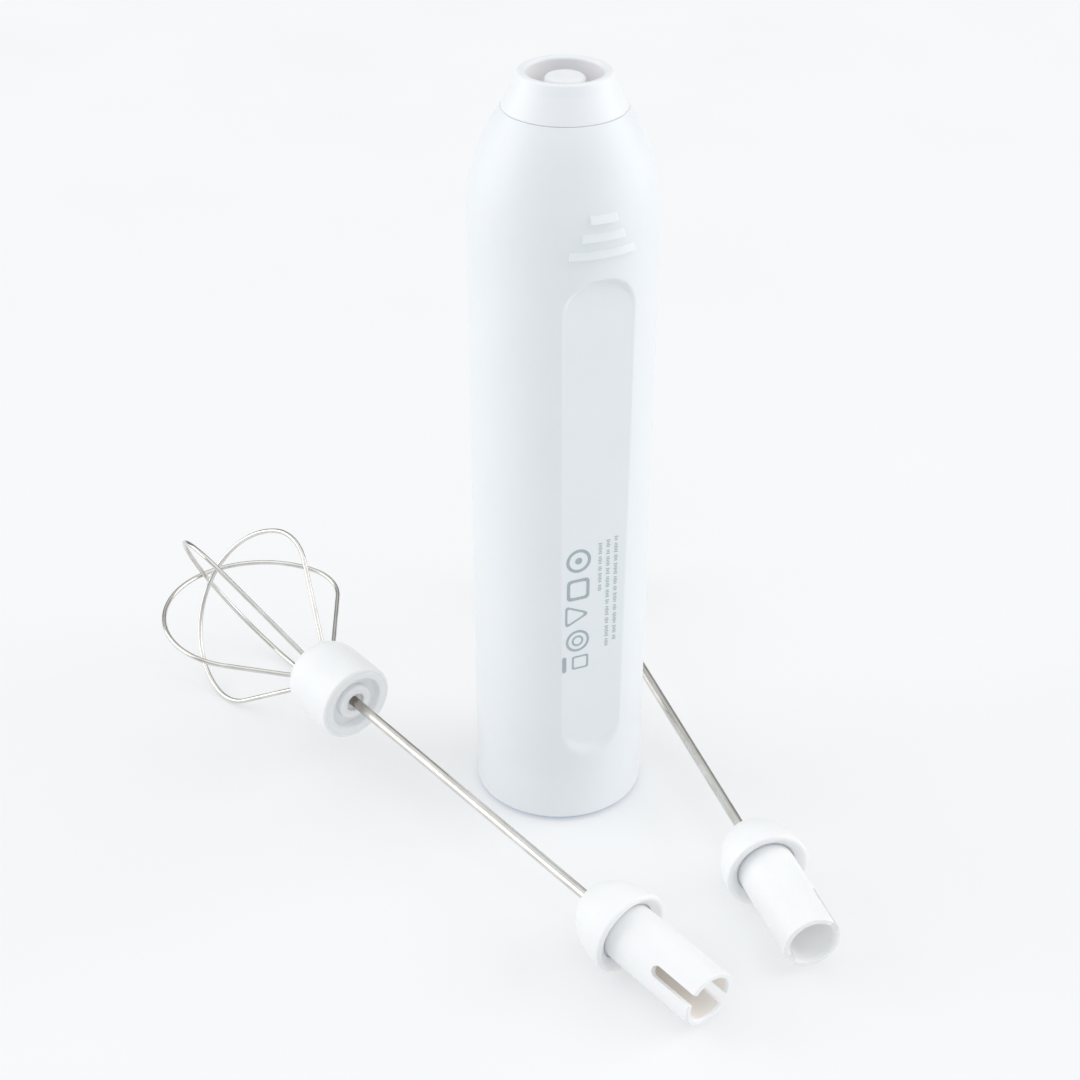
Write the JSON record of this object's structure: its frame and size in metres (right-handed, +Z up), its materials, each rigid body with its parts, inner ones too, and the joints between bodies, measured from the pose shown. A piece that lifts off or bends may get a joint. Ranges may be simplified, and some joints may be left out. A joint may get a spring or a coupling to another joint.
{
  "type": "milk frother",
  "caption": "Cordless upright milk frother with a drive post in its nozzle, and its loose balloon whisk and spring-ring whisk lying beside it.",
  "frame": {"origin": "centre of the handle's flat foot, on the surface that it stands on", "axes": "+Z up along the handle and the drive post; the plain back faces -Y, the button faces +Y, the whisks lie at the -X and +X sides"},
  "size_m": [0.1084, 0.1555, 0.1498],
  "materials": {
    "casing_white": "semi-gloss moulded ABS",
    "trim_white": "semi-gloss moulded ABS",
    "whisk_plastic": "satin moulded polypropylene",
    "button_grey": "satin moulded cap",
    "rod_steel": "drawn stainless rod, polished",
    "wire_steel": "drawn stainless wire, bright",
    "rubber_grey": "smooth silicone",
    "foam_grey": "open-cell foam",
    "chassis_plastic": "moulded frame",
    "motor_steel": "zinc-plated can",
    "screw_steel": "plated steel",
    "switch_steel": "stamped tinned steel",
    "lamination_steel": "stamped electrical steel",
    "ferrite": "sintered ferrite",
    "bronze": "sintered bronze",
    "copper": "copper",
    "cell_wrap": "shrink wrap",
    "board_green": "solder mask",
    "chip_black": "moulded epoxy",
    "led_amber": "encapsulated LED",
    "clear_lens": "clear acrylic light guide",
    "lead_insulation": "PVC insulation"
  },
  "bodies": {
    "handle": {"casing": "casing_white", "nozzle_collar": "trim_white", "nozzle_seal": "rubber_grey", "base_cap": "trim_white", "base_seal": "rubber_grey", "chassis": "chassis_plastic", "motor_can": "motor_steel", "motor_end_cap": "chassis_plastic", "motor_magnets": "ferrite", "motor_bushings": "bronze", "motor_brushes": "copper", "motor_damper": "rubber_grey", "motor_screws": "screw_steel", "shaft_seal": "rubber_grey", "battery_cell": "cell_wrap", "battery_pad": "foam_grey", "circuit_board": "board_green", "board_parts": "chip_black", "board_screws": "screw_steel", "power_switch": "switch_steel", "usb_socket": "switch_steel", "status_leds": "led_amber", "light_guide": "clear_lens", "motor_leads": "lead_insulation", "battery_leads": "lead_insulation"},
    "button": {"power_button": "button_grey", "switch_plunger": "chip_black"},
    "spindle": {"motor_shaft": "screw_steel", "rotor_core": "lamination_steel", "rotor_windings": "copper", "commutator": "copper", "drive_post": "trim_white"},
    "balloon_whisk": {"balloon_coupling": "whisk_plastic", "balloon_rod": "rod_steel", "balloon_hub": "whisk_plastic", "balloon_hub_plug": "whisk_plastic", "balloon_loop_1": "wire_steel", "balloon_loop_2": "wire_steel", "balloon_loop_3": "wire_steel"},
    "froth_whisk": {"froth_coupling": "whisk_plastic", "froth_rod": "rod_steel", "froth_ferrule": "rod_steel", "froth_ring": "wire_steel", "froth_spring": "wire_steel"}
  },
  "joints": [
    {"name": "button_press", "type": "slide", "parent": "handle", "child": "button", "axis": [0, -1, 0], "range_m": [0, 0.0005], "stiffness_N_per_m": 800, "springref_m": -0.001},
    {"name": "motor_spin", "type": "hinge", "parent": "handle", "child": "spindle", "pos_m": [0, 0, 0.12], "axis": [0, 0, 1], "continuous": true},
    {"name": "balloon_whisk_lift", "type": "slide", "parent": "handle", "child": "balloon_whisk", "axis": [0, 0, 1], "range_m": [0, 0.2]},
    {"name": "froth_whisk_lift", "type": "slide", "parent": "handle", "child": "froth_whisk", "axis": [0, 0, 1], "range_m": [0, 0.2]}
  ]
}
